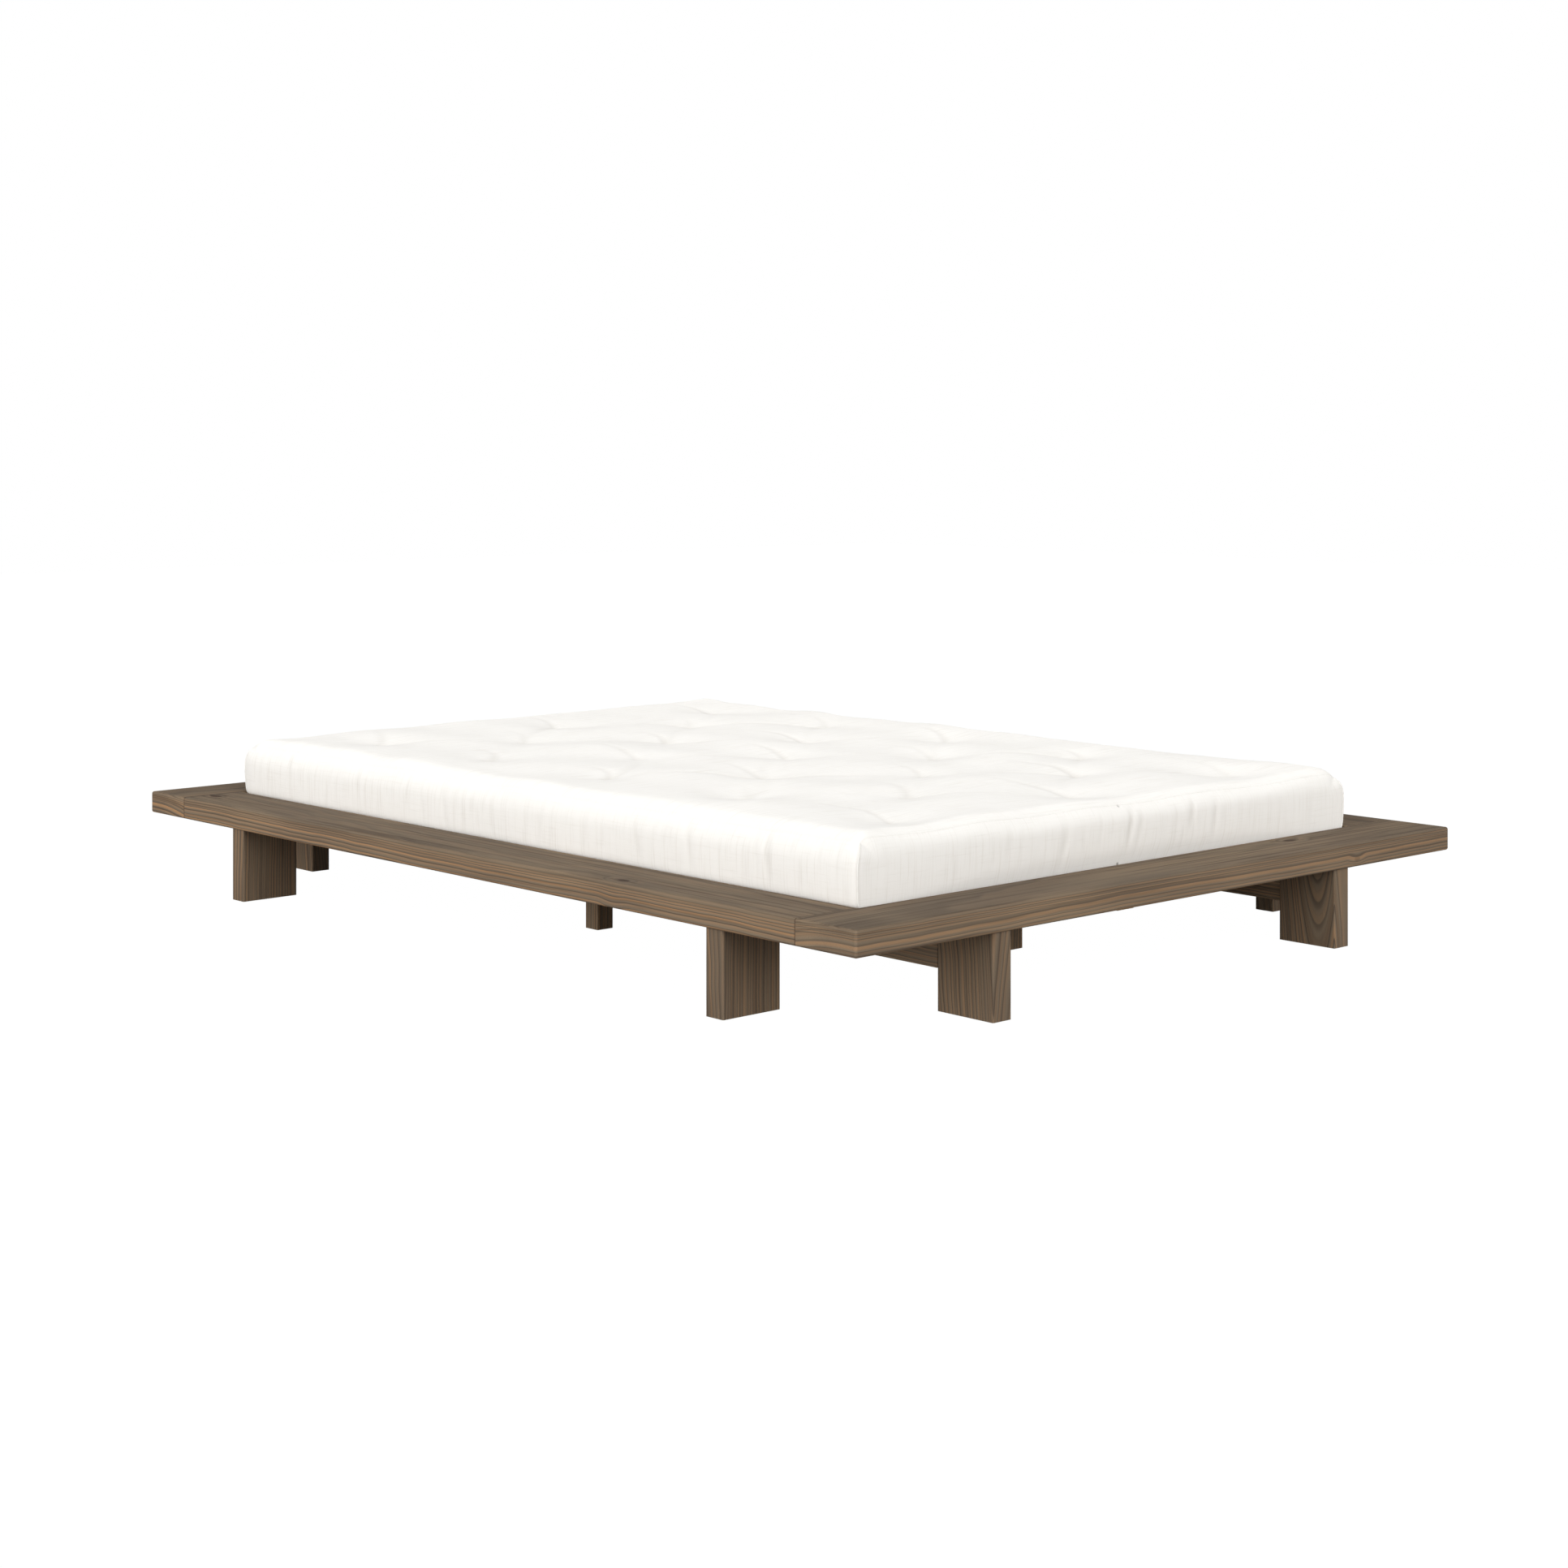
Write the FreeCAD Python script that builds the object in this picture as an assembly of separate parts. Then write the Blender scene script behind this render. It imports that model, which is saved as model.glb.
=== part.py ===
import FreeCAD, Part
import os

# Low platform bed: a wide flat border of four boards on eight board legs, joined below by two
# lengthwise and two crosswise beams. Millimetres, +Z up, origin on the floor under the centre.
# Length runs along Y with the foot end at -Y, and width runs along X.

os.makedirs("parts", exist_ok=True)

# Opening in the border, which is the size of the mattress it takes
OPENING_LENGTH = 2000.0
OPENING_WIDTH = 1400.0

# Border boards, laid flat
BORDER_WIDTH = 145.0
BORDER_THICKNESS = 47.0
BORDER_UNDERSIDE = 155.0        # height of the border's lower face above the floor
BORDER_ROUND = 5.0              # rounded outer arrises
INNER_ROUND = 3.0               # rounded arris beside the mattress
JOINT_BEVEL = 0.8               # small bevel on the side boards' butting ends

# Legs: short lengths of board standing on end
LEG_WIDTH = 133.0
LEG_THICKNESS = 46.0
LEG_INSET = 9.0                 # from the border's outer face to the leg's outer edge
LEG_ROUND = 3.0
LONG_BEAM_SETBACK = 334.0       # from the side of the bed to the outer face of a lengthwise beam
CROSS_BEAM_SETBACK = 337.0      # from the end of the bed to the outer face of a crosswise beam

# Beams between the legs. The crosswise ones are laid flush in notches in the lengthwise ones.
BEAM_THICKNESS = 34.0
BEAM_HEIGHT = 80.0
CROSS_BEAM_HEIGHT = 38.0
NOTCH_CLEARANCE = 0.2           # each side of a notch

# Centre rail under the slats, halved over the crosswise beams
RAIL_WIDTH = 46.0
RAIL_HEIGHT = 60.0
RAIL_END_GAP = 2.0

# Square posts under the centre rail, and beside the middle of each lengthwise beam
RAIL_POST_SIDE = 46.0
RAIL_POST_SETBACK = 428.0       # from the end of the bed to the near face of an outer rail post
BEAM_POST_SIDE = 40.0
BEAM_POST_OFFSET = 10.0         # past the bed's middle, towards the head
POST_ROUND = 2.0

# Ledges on the side boards' inner edges, flush with the border's lower face
LEDGE_WIDTH = 25.0
LEDGE_HEIGHT = 20.0
LEDGE_END_GAP = 2.0

# Slats
SLAT_COUNT = 14
SLAT_WIDTH = 70.0
SLAT_THICKNESS = 15.0
SLAT_END_GAP = 3.0              # from a slat's end to the side board
SLAT_MARGIN = 15.0              # from the first slat's edge to the end board
SLAT_ROUND = 2.0

# Futon mattress, a plain solid of its outer size
MATTRESS_HEIGHT = 129.0
MATTRESS_GAP = 3.0              # all round, to the border
MATTRESS_REST_GAP = 0.3         # above the slats
MATTRESS_CORNER_ROUND = 30.0    # upright corners
MATTRESS_TOP_ROUND = 28.0       # round the top face

# Dowels
DOWEL_RADIUS = 5.0
CORNER_DOWEL_LENGTH = 60.0
CORNER_DOWEL_SPACING = 55.0
BEAM_DOWEL_LENGTH = 60.0
BEAM_DOWEL_SPACING = 30.0
BEAM_DOWEL_RISE = 17.0          # from the beam's lower edge to its lower dowel
CROSS_DOWEL_LENGTH = 44.0       # short, to stay clear of the legs' upright dowels
CROSS_DOWEL_SPACING = 18.0
CROSS_DOWEL_RISE = 10.0
LEG_DOWEL_LENGTH = 50.0
LEG_DOWEL_SPACING = 70.0
POST_DOWEL_RADIUS = 6.0
POST_DOWEL_LENGTH = 60.0

# Steel plates under the border's corner joints
PLATE_LENGTH = 120.0
PLATE_WIDTH = 60.0
PLATE_THICKNESS = 3.0
PLATE_SCREW_SPREAD = 90.0       # between screws, across the joint
PLATE_SCREW_PITCH = 36.0        # between screws, along the joint

# Steel angle brackets between the legs and the border
BRACKET_LEG = 40.0
BRACKET_WIDTH = 50.0
BRACKET_THICKNESS = 3.0
BRACKET_SCREW_REACH = 26.0      # from the bracket's outer corner to a screw
BRACKET_SCREW_PITCH = 28.0

# Countersunk wood screws: shank radius, head radius, head depth, length
PLATE_SCREW = (2.2, 4.4, 2.4, 28.0)
BRACKET_SCREW = (2.2, 4.4, 2.4, 25.0)
LEDGE_SCREW = (2.0, 4.0, 2.2, 50.0)
SLAT_SCREW = (2.0, 4.0, 2.2, 30.0)
RAIL_SCREW = (3.0, 6.0, 3.2, 55.0)
RAIL_SCREW_OFFSET = 10.0        # slat screws stand this far to one side of the rail's centre line

# Bolts through the lengthwise beams and their posts
BOLT_RADIUS = 4.0
BOLT_HEAD_ACROSS_FLATS = 13.0
BOLT_HEAD_HEIGHT = 5.3
NUT_HEIGHT = 6.5
WASHER_RADIUS = 8.0
WASHER_THICKNESS = 1.6
BOLT_TAIL = 3.0                 # thread past the nut
BOLT_SPACING = 40.0

# Places that follow from the sizes above
half_opening_length = OPENING_LENGTH / 2
half_opening_width = OPENING_WIDTH / 2
half_length = half_opening_length + BORDER_WIDTH
half_width = half_opening_width + BORDER_WIDTH
beam_bottom = BORDER_UNDERSIDE - BEAM_HEIGHT
cross_beam_bottom = BORDER_UNDERSIDE - CROSS_BEAM_HEIGHT
rail_seat = BORDER_UNDERSIDE - CROSS_BEAM_HEIGHT / 2
ledge_top = BORDER_UNDERSIDE + LEDGE_HEIGHT
rail_bottom = ledge_top - RAIL_HEIGHT
slat_top = ledge_top + SLAT_THICKNESS
long_beam_outer = half_width - LONG_BEAM_SETBACK
cross_beam_outer = half_length - CROSS_BEAM_SETBACK
long_leg_outer = half_length - LEG_INSET
cross_leg_outer = half_width - LEG_INSET
slat_pitch = (OPENING_LENGTH - 2 * SLAT_MARGIN - SLAT_WIDTH) / (SLAT_COUNT - 1)
slat_centres = [
    -half_opening_length + SLAT_MARGIN + SLAT_WIDTH / 2 + i * slat_pitch for i in range(SLAT_COUNT)
]
rail_post_outer = half_length - RAIL_POST_SETBACK - RAIL_POST_SIDE / 2
dowel_height = BORDER_UNDERSIDE + BORDER_THICKNESS / 2
SIDES = (("left", -1), ("right", 1))
ENDS = (("foot", -1), ("head", 1))

ALONG_X = FreeCAD.Vector(1, 0, 0)
ALONG_Y = FreeCAD.Vector(0, 1, 0)
UP = FreeCAD.Vector(0, 0, 1)
DOWN = FreeCAD.Vector(0, 0, -1)


def span(x0, x1, y0, y1, z0, z1):
    """Box between two corners, given in any order."""
    low = FreeCAD.Vector(min(x0, x1), min(y0, y1), min(z0, z1))
    return Part.makeBox(abs(x1 - x0), abs(y1 - y0), abs(z1 - z0), low)


def edges_at(solid, direction, **planes):
    """Edges along one axis that lie in all the planes named, such as x=10, z=0."""
    found = []
    for edge in solid.Edges:
        ends = [vertex.Point for vertex in edge.Vertexes]
        if len(ends) != 2:
            continue
        along = ends[1] - ends[0]
        if abs(abs(along.dot(direction)) - along.Length) > 1e-6:
            continue
        if all(abs(getattr(end, axis) - value) < 1e-6 for end in ends for axis, value in planes.items()):
            found.append(edge)
    return found


def dowel(centre, direction, length, radius=DOWEL_RADIUS):
    """Plain round dowel centred on a joint."""
    return Part.makeCylinder(radius, length, centre - direction * (length / 2), direction)


def screw(head, direction, kind):
    """Countersunk wood screw with its flat head at a point, driven along a direction."""
    shank_radius, head_radius, head_depth, length = kind
    cone = Part.makeCone(head_radius, shank_radius, head_depth, head, direction)
    shank_length = length - head_depth - 2 * shank_radius
    shank_start = head + direction * head_depth
    shank = Part.makeCylinder(shank_radius, shank_length, shank_start, direction)
    tip_start = shank_start + direction * shank_length
    tip = Part.makeCone(shank_radius, 0, 2 * shank_radius, tip_start, direction)
    return cone.fuse([shank, tip]).removeSplitter()


def hexagon(centre, direction, across_flats, height):
    """Hexagonal prism that rises along X from a point."""
    corner = across_flats / 3 ** 0.5
    points = []
    for i in range(7):
        turn = FreeCAD.Rotation(ALONG_X, 60 * i)
        points.append(centre + turn.multVec(FreeCAD.Vector(0, 0, corner)))
    face = Part.Face(Part.makePolygon(points))
    return face.extrude(direction * height)


# Hardware places. Each list holds the solids that are both the pieces and the holes they fill.

def corner_dowels():
    """Two dowels across each butt joint of the border."""
    found = []
    for _, sx in SIDES:
        for _, sy in ENDS:
            for step in (-0.5, 0.5):
                x = sx * (half_width - BORDER_WIDTH / 2 + step * CORNER_DOWEL_SPACING)
                centre = FreeCAD.Vector(x, sy * half_opening_length, dowel_height)
                found.append(dowel(centre, ALONG_Y, CORNER_DOWEL_LENGTH))
    return found


def leg_centres():
    """Each leg: name, centre of its plan, outward direction, inward direction of its wide face."""
    found = []
    for end, sy in ENDS:
        for side, sx in SIDES:
            x = sx * (long_beam_outer - LEG_THICKNESS / 2)
            y = sy * (long_leg_outer - LEG_WIDTH / 2)
            name = f"{end}_end_leg_{side}"
            found.append((name, FreeCAD.Vector(x, y, 0), ALONG_Y * sy, ALONG_X * -sx))
    for side, sx in SIDES:
        for end, sy in ENDS:
            x = sx * (cross_leg_outer - LEG_WIDTH / 2)
            y = sy * (cross_beam_outer - LEG_THICKNESS / 2)
            name = f"{side}_side_leg_{end}"
            found.append((name, FreeCAD.Vector(x, y, 0), ALONG_X * sx, ALONG_Y * -sy))
    return found


def beam_dowels():
    """Two dowels, one above the other, between each leg's inner edge and its beam."""
    found = []
    for _, centre, outward, inward in leg_centres():
        joint = centre - outward * (LEG_WIDTH / 2) - inward * ((LEG_THICKNESS - BEAM_THICKNESS) / 2)
        if abs(outward.y) > 0.5:
            lower, spacing, length = beam_bottom + BEAM_DOWEL_RISE, BEAM_DOWEL_SPACING, BEAM_DOWEL_LENGTH
        else:
            lower, spacing = cross_beam_bottom + CROSS_DOWEL_RISE, CROSS_DOWEL_SPACING
            length = CROSS_DOWEL_LENGTH
        for i in range(2):
            height = lower + i * spacing
            found.append(dowel(joint + UP * height, outward, length))
    return found


def leg_dowels():
    """Two upright dowels between each leg's top and the border."""
    found = []
    for _, centre, outward, _ in leg_centres():
        for step in (-0.5, 0.5):
            place = centre + outward * (step * LEG_DOWEL_SPACING) + UP * BORDER_UNDERSIDE
            found.append(dowel(place, UP, LEG_DOWEL_LENGTH))
    return found


def rail_post_centres():
    """Three posts along the centre rail."""
    return [
        ("rail_post_foot", -rail_post_outer),
        ("rail_post_middle", 0.0),
        ("rail_post_head", rail_post_outer),
    ]


def rail_post_dowels():
    """One upright dowel between each post's top and the centre rail."""
    return [
        dowel(FreeCAD.Vector(0, y, rail_bottom), UP, POST_DOWEL_LENGTH, POST_DOWEL_RADIUS)
        for _, y in rail_post_centres()
    ]


def plate_screws():
    """Four screws in each corner plate, driven upwards."""
    found = []
    for _, sx in SIDES:
        for _, sy in ENDS:
            for across in (-0.5, 0.5):
                for along in (-0.5, 0.5):
                    x = sx * (half_width - BORDER_WIDTH / 2) + along * PLATE_SCREW_PITCH
                    y = sy * half_opening_length + across * PLATE_SCREW_SPREAD
                    head = FreeCAD.Vector(x, y, BORDER_UNDERSIDE - PLATE_THICKNESS)
                    found.append(screw(head, UP, PLATE_SCREW))
    return found


def bracket_corners():
    """Each bracket's inner corner, its direction along the leg and its direction away from the leg.

    A leg has its bracket on one wide face, chosen so that the frame is the same turned end for end.
    """
    found = []
    for _, centre, outward, _ in leg_centres():
        away = UP.cross(outward)
        if abs(outward.x) > 0.5:
            away = away * -1
        corner = centre + away * (LEG_THICKNESS / 2) + UP * BORDER_UNDERSIDE
        found.append((corner, outward, away))
    return found


def bracket_screws():
    """Four screws in each bracket: two up into the border and two into the leg."""
    found = []
    for corner, outward, away in bracket_corners():
        for step in (-0.5, 0.5):
            side = corner + outward * (step * BRACKET_SCREW_PITCH)
            upward = side + away * BRACKET_SCREW_REACH + DOWN * BRACKET_THICKNESS
            found.append(screw(upward, UP, BRACKET_SCREW))
            level = side + DOWN * BRACKET_SCREW_REACH + away * BRACKET_THICKNESS
            found.append(screw(level, away * -1, BRACKET_SCREW))
    return found


def ledge_screws():
    """Level screws through each ledge into its side board, in every second gap between slats."""
    found = []
    for _, sx in SIDES:
        for i in range(0, SLAT_COUNT - 1, 2):
            x = sx * (half_opening_width - LEDGE_WIDTH)
            y = slat_centres[i] + slat_pitch / 2
            head = FreeCAD.Vector(x, y, BORDER_UNDERSIDE + LEDGE_HEIGHT / 2)
            found.append(screw(head, ALONG_X * sx, LEDGE_SCREW))
    return found


def slat_screws():
    """Three screws down through each slat: one in each ledge and one in the centre rail."""
    places = (
        -half_opening_width + LEDGE_WIDTH / 2,
        RAIL_SCREW_OFFSET,
        half_opening_width - LEDGE_WIDTH / 2,
    )
    found = []
    for y in slat_centres:
        for x in places:
            found.append(screw(FreeCAD.Vector(x, y, slat_top), DOWN, SLAT_SCREW))
    return found


def rail_screws():
    """One long screw down through the centre rail into each crosswise beam."""
    found = []
    for _, sy in ENDS:
        y = sy * (cross_beam_outer - BEAM_THICKNESS / 2)
        head = FreeCAD.Vector(-RAIL_SCREW_OFFSET, y, ledge_top)
        found.append(screw(head, DOWN, RAIL_SCREW))
    return found


def bolt_places():
    """Where the bolts of the beam posts start, on the outer face of each lengthwise beam."""
    found = []
    for _, sx in SIDES:
        for step in (-0.5, 0.5):
            height = beam_bottom + BEAM_HEIGHT / 2 + step * BOLT_SPACING
            start = FreeCAD.Vector(sx * long_beam_outer, BEAM_POST_OFFSET, height)
            found.append((start, ALONG_X * -sx))
    return found


def bolts():
    """Hexagon-headed bolts with a washer under each head."""
    grip = BEAM_THICKNESS + BEAM_POST_SIDE
    shank_length = grip + 2 * WASHER_THICKNESS + NUT_HEIGHT + BOLT_TAIL
    found = []
    for start, inward in bolt_places():
        under_head = start - inward * WASHER_THICKNESS
        head = hexagon(under_head, inward * -1, BOLT_HEAD_ACROSS_FLATS, BOLT_HEAD_HEIGHT)
        shank = Part.makeCylinder(BOLT_RADIUS, shank_length, under_head, inward)
        found.append(head.fuse(shank).removeSplitter())
    return found


def bolt_washers():
    """A washer on each side of the beam and its post."""
    found = []
    for start, inward in bolt_places():
        far = start + inward * (BEAM_THICKNESS + BEAM_POST_SIDE)
        for face in (start - inward * WASHER_THICKNESS, far):
            disc = Part.makeCylinder(WASHER_RADIUS, WASHER_THICKNESS, face, inward)
            found.append(disc.cut(Part.makeCylinder(BOLT_RADIUS, WASHER_THICKNESS, face, inward)))
    return found


def bolt_nuts():
    """A nut on each bolt's inner end."""
    found = []
    for start, inward in bolt_places():
        face = start + inward * (BEAM_THICKNESS + BEAM_POST_SIDE + WASHER_THICKNESS)
        body = hexagon(face, inward, BOLT_HEAD_ACROSS_FLATS, NUT_HEIGHT)
        found.append(body.cut(Part.makeCylinder(BOLT_RADIUS, NUT_HEIGHT, face, inward)))
    return found


def border_fixings():
    return corner_dowels() + leg_dowels() + plate_screws() + bracket_screws() + ledge_screws()


# Timber

def near(solid, tools):
    """The tools that reach into a solid's own box."""
    box = solid.BoundBox
    return [tool for tool in tools if box.intersect(tool.BoundBox)]


def drilled(solid, tools):
    """A solid with the holes that its fixings fill."""
    return solid.cut(near(solid, tools))


def side_board(sx):
    """Border board along one side, between the end boards."""
    outer = sx * half_width
    inner = sx * half_opening_width
    top = BORDER_UNDERSIDE + BORDER_THICKNESS
    board = span(inner, outer, -half_opening_length, half_opening_length, BORDER_UNDERSIDE, top)
    board = board.makeFillet(BORDER_ROUND, edges_at(board, ALONG_Y, x=outer))
    board = board.makeFillet(INNER_ROUND, edges_at(board, ALONG_Y, x=inner, z=top))
    for _, sy in ENDS:
        board = board.cut(joint_bevel(sx, sy, top))
    return drilled(board, border_fixings())


def joint_bevel(sx, sy, top):
    """Three-cornered sliver along the top of a butting end."""
    y = sy * half_opening_length
    x = sx * half_opening_width
    points = [
        FreeCAD.Vector(x, y, top),
        FreeCAD.Vector(x, y - sy * JOINT_BEVEL, top),
        FreeCAD.Vector(x, y, top - JOINT_BEVEL),
        FreeCAD.Vector(x, y, top),
    ]
    return Part.Face(Part.makePolygon(points)).extrude(ALONG_X * (sx * BORDER_WIDTH))


def end_board(sy):
    """Border board across one end, over the full width of the bed."""
    outer = sy * half_length
    inner = sy * half_opening_length
    top = BORDER_UNDERSIDE + BORDER_THICKNESS
    board = span(-half_width, half_width, inner, outer, BORDER_UNDERSIDE, top)
    edges = edges_at(board, ALONG_X, y=outer)
    for _, sx in SIDES:
        edges += edges_at(board, ALONG_Y, x=sx * half_width)
        edges += edges_at(board, UP, x=sx * half_width, y=outer)
    board = board.makeFillet(BORDER_ROUND, edges)
    board = board.cut(inner_arris(inner, sy, top))
    return drilled(board, border_fixings())


def inner_arris(inner, sy, top):
    """What rounding takes off an end board's arris, along the opening only."""
    axis_y = inner + sy * INNER_ROUND
    low = top - INNER_ROUND
    strip = span(-half_opening_width, half_opening_width, inner, axis_y, low, top)
    start = FreeCAD.Vector(-half_opening_width, axis_y, low)
    return strip.cut(Part.makeCylinder(INNER_ROUND, OPENING_WIDTH, start, ALONG_X))


def leg(centre, outward):
    """Board leg standing on the floor, with its arrises rounded."""
    half_u = LEG_WIDTH / 2
    half_t = LEG_THICKNESS / 2
    if abs(outward.y) > 0.5:
        half_x, half_y = half_t, half_u
    else:
        half_x, half_y = half_u, half_t
    body = span(centre.x - half_x, centre.x + half_x, centre.y - half_y, centre.y + half_y,
                0, BORDER_UNDERSIDE)
    corners = edges_at(body, UP)
    body = body.makeFillet(LEG_ROUND, corners)
    return drilled(body, beam_dowels() + leg_dowels() + bracket_screws())


def long_beam(sx):
    """Lengthwise beam, notched from above to take the crosswise beams."""
    outer = sx * long_beam_outer
    inner = outer - sx * BEAM_THICKNESS
    reach = long_leg_outer - LEG_WIDTH
    beam = span(inner, outer, -reach, reach, beam_bottom, BORDER_UNDERSIDE)
    for _, sy in ENDS:
        far = sy * (cross_beam_outer + NOTCH_CLEARANCE)
        near_face = sy * (cross_beam_outer - BEAM_THICKNESS - NOTCH_CLEARANCE)
        beam = beam.cut(span(inner, outer, near_face, far, cross_beam_bottom, BORDER_UNDERSIDE))
    return drilled(beam, beam_dowels() + bolts())


def cross_beam(sy):
    """Shallow crosswise beam, halved from above where the centre rail crosses it."""
    outer = sy * cross_beam_outer
    inner = outer - sy * BEAM_THICKNESS
    reach = cross_leg_outer - LEG_WIDTH
    beam = span(-reach, reach, inner, outer, cross_beam_bottom, BORDER_UNDERSIDE)
    half_notch = RAIL_WIDTH / 2 + NOTCH_CLEARANCE
    beam = beam.cut(span(-half_notch, half_notch, inner, outer, rail_seat, BORDER_UNDERSIDE))
    return drilled(beam, beam_dowels() + rail_screws())


def centre_rail():
    """Rail under the middle of the slats, halved from below over the crosswise beams."""
    reach = half_opening_length - RAIL_END_GAP
    half = RAIL_WIDTH / 2
    rail = span(-half, half, -reach, reach, rail_bottom, ledge_top)
    for _, sy in ENDS:
        far = sy * (cross_beam_outer + NOTCH_CLEARANCE)
        near_face = sy * (cross_beam_outer - BEAM_THICKNESS - NOTCH_CLEARANCE)
        rail = rail.cut(span(-half, half, near_face, far, rail_bottom, rail_seat))
    return drilled(rail, rail_screws() + slat_screws() + rail_post_dowels())


def rail_post(y):
    """Square post from the floor to the centre rail."""
    half = RAIL_POST_SIDE / 2
    post = span(-half, half, y - half, y + half, 0, rail_bottom)
    post = post.makeFillet(POST_ROUND, edges_at(post, UP))
    return drilled(post, rail_post_dowels())


def beam_post(sx):
    """Square post bolted to the inner face of a lengthwise beam near mid length."""
    outer = sx * (long_beam_outer - BEAM_THICKNESS)
    half = BEAM_POST_SIDE / 2
    near_face = BEAM_POST_OFFSET - half
    far_face = BEAM_POST_OFFSET + half
    post = span(outer - sx * BEAM_POST_SIDE, outer, near_face, far_face, 0, BORDER_UNDERSIDE)
    post = post.makeFillet(POST_ROUND, edges_at(post, UP))
    return drilled(post, bolts())


def ledge(sx):
    """Strip on a side board's inner edge that carries the slats' ends."""
    reach = half_opening_length - LEDGE_END_GAP
    outer = sx * half_opening_width
    strip = span(outer - sx * LEDGE_WIDTH, outer, -reach, reach, BORDER_UNDERSIDE, ledge_top)
    return drilled(strip, ledge_screws() + slat_screws())


def slat(y):
    """Flat slat across the opening."""
    reach = half_opening_width - SLAT_END_GAP
    half = SLAT_WIDTH / 2
    board = span(-reach, reach, y - half, y + half, ledge_top, slat_top)
    board = board.makeFillet(SLAT_ROUND, edges_at(board, ALONG_X, z=slat_top))
    return drilled(board, slat_screws())


# Steel

def corner_plates():
    """Flat plate under each butt joint of the border."""
    found = []
    for _, sx in SIDES:
        for _, sy in ENDS:
            x = sx * (half_width - BORDER_WIDTH / 2)
            y = sy * half_opening_length
            plate = span(x - PLATE_WIDTH / 2, x + PLATE_WIDTH / 2, y - PLATE_LENGTH / 2,
                         y + PLATE_LENGTH / 2, BORDER_UNDERSIDE - PLATE_THICKNESS, BORDER_UNDERSIDE)
            found.append(drilled(plate, plate_screws()))
    return found


def angle_brackets():
    """Angle bracket in the corner between one wide face of each leg and the border."""
    found = []
    for corner, outward, away in bracket_corners():
        profile = [
            (0, 0),
            (BRACKET_LEG, 0),
            (BRACKET_LEG, BRACKET_THICKNESS),
            (BRACKET_THICKNESS, BRACKET_THICKNESS),
            (BRACKET_THICKNESS, BRACKET_LEG),
            (0, BRACKET_LEG),
            (0, 0),
        ]
        start = corner - outward * (BRACKET_WIDTH / 2)
        points = [start + away * out + DOWN * drop for out, drop in profile]
        angle = Part.Face(Part.makePolygon(points)).extrude(outward * BRACKET_WIDTH)
        found.append(drilled(angle, bracket_screws()))
    return found


# Soft part

def mattress():
    """Futon mattress as a plain solid with rounded edges."""
    half_x = half_opening_width - MATTRESS_GAP
    half_y = half_opening_length - MATTRESS_GAP
    low = slat_top + MATTRESS_REST_GAP
    high = low + MATTRESS_HEIGHT
    body = span(-half_x, half_x, -half_y, half_y, low, high)
    body = body.makeFillet(MATTRESS_CORNER_ROUND, edges_at(body, UP))
    top_edges = [e for e in body.Edges if all(abs(v.Point.z - high) < 1e-6 for v in e.Vertexes)]
    return body.makeFillet(MATTRESS_TOP_ROUND, top_edges)


def build():
    """All nodes by name."""
    nodes = {}
    for side, sx in SIDES:
        nodes[f"side_board_{side}"] = side_board(sx)
        nodes[f"long_beam_{side}"] = long_beam(sx)
        nodes[f"beam_post_{side}"] = beam_post(sx)
        nodes[f"slat_ledge_{side}"] = ledge(sx)
    for end, sy in ENDS:
        nodes[f"end_board_{end}"] = end_board(sy)
        nodes[f"cross_beam_{end}"] = cross_beam(sy)
    for name, centre, outward, _ in leg_centres():
        nodes[name] = leg(centre, outward)
    nodes["centre_rail"] = centre_rail()
    for name, y in rail_post_centres():
        nodes[name] = rail_post(y)
    for i, y in enumerate(slat_centres):
        nodes[f"slat_{i + 1:02d}"] = slat(y)
    nodes["mattress"] = mattress()
    groups = {
        "corner_dowels": corner_dowels(),
        "beam_dowels": beam_dowels(),
        "leg_dowels": leg_dowels(),
        "rail_post_dowels": rail_post_dowels(),
        "corner_plates": corner_plates(),
        "corner_plate_screws": plate_screws(),
        "angle_brackets": angle_brackets(),
        "angle_bracket_screws": bracket_screws(),
        "ledge_screws": ledge_screws(),
        "slat_screws": slat_screws(),
        "rail_screws": rail_screws(),
        "post_bolts": bolts(),
        "post_bolt_washers": bolt_washers(),
        "post_bolt_nuts": bolt_nuts(),
    }
    for name, solids in groups.items():
        nodes[name] = Part.makeCompound(solids)
    return nodes


for node, shape in build().items():
    shape.exportStep(f"parts/{node}.step")
    print(node, len(shape.Solids), shape.isValid(), round(shape.Volume))
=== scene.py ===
# %% [markdown]
# # A low pine bed with a tufted futon
# The bed is a wide flat border of four stained pine boards. It stands on short lengths of board and
# carries a futon mattress in its opening. The frame comes ready made and to size, so this lesson adds
# what a frame cannot hold: the grain of the timber, and a mattress of sewn cotton.

# %% Load the frame
import math

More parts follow.
